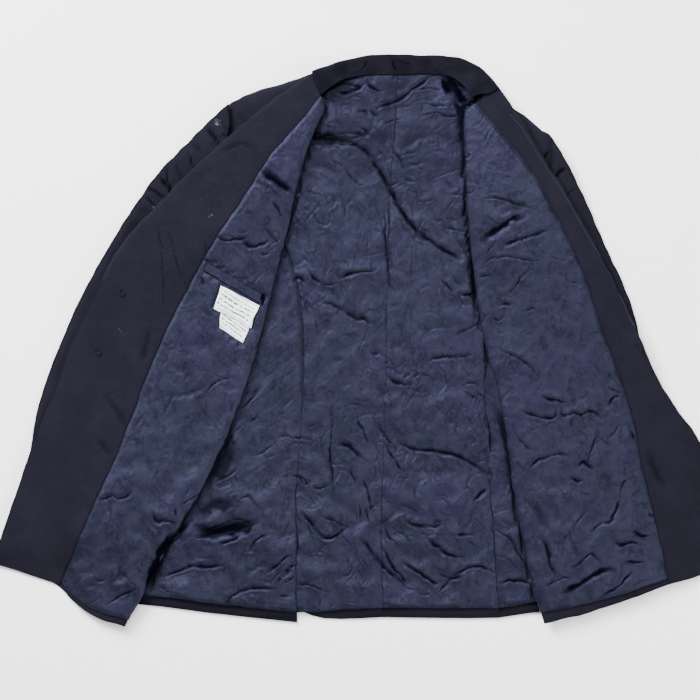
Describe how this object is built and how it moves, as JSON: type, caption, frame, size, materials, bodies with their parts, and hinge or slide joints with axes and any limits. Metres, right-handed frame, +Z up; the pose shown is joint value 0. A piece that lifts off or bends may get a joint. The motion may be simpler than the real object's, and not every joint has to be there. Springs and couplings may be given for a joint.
{
  "type": "fire service dress jacket",
  "caption": "Dark navy wool dress jacket with satin lining, laid open and flat with its inside up, its fronts turned back over flattened sleeves.",
  "frame": {"origin": "centre of the jacket's footprint, on the surface it lies on", "axes": "+Z up from the surface, +Y towards the collar, +X towards the wearer's left front"},
  "size_m": [1.0401, 0.7997, 0.0289],
  "materials": {
    "wool": "matt dark navy wool",
    "lining": "crumpled satin, navy",
    "label": "white woven label",
    "button_metal": "plain domed button",
    "ring_metal": "blackened wire ring"
  },
  "bodies": {
    "root": {"back_left": "wool", "back_right": "wool", "side_left": "wool", "side_right": "wool", "front_left": "wool", "front_right": "wool", "facing_left": "wool", "facing_right": "wool", "collar": "wool", "sleeve_left": "wool", "sleeve_right": "wool", "lining_back_left": "lining", "lining_back_right": "lining", "lining_side_left": "lining", "lining_side_right": "lining", "lining_front_left": "lining", "lining_front_right": "lining", "pocket_welt": "lining", "maker_label": "label", "care_label": "label", "button_1": "button_metal", "button_2": "button_metal", "button_ring_1": "ring_metal", "button_ring_2": "ring_metal"}
  },
  "joints": []
}
